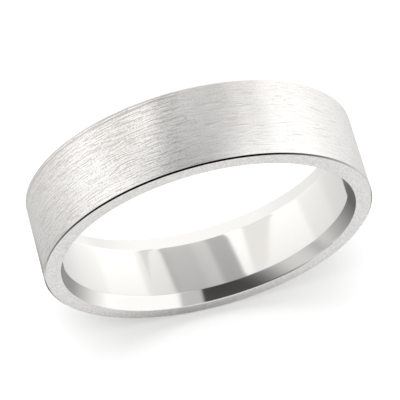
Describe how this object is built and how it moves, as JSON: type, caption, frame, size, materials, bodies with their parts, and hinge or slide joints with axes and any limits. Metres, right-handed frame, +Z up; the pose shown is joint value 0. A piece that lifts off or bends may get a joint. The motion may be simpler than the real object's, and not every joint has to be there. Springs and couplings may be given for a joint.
{
  "type": "wedding band",
  "caption": "Flat-profile wedding band with a brushed outer face, satin edges, polished bevels and a polished bore.",
  "frame": {"origin": "centre of the finger hole, on the ring's axis and midway between its two edges", "axes": "+Y along the ring's axis towards its back edge, -Y towards its front edge, +Z up with the ring standing on its rim"},
  "size_m": [0.02, 0.005, 0.02],
  "materials": {
    "band_metal": "white precious metal: outer face brushed around the ring, both edges fine satin, inner bevels, bore and the narrow outer corner breaks polished"
  },
  "bodies": {
    "root": {"band": "band_metal"}
  },
  "joints": []
}
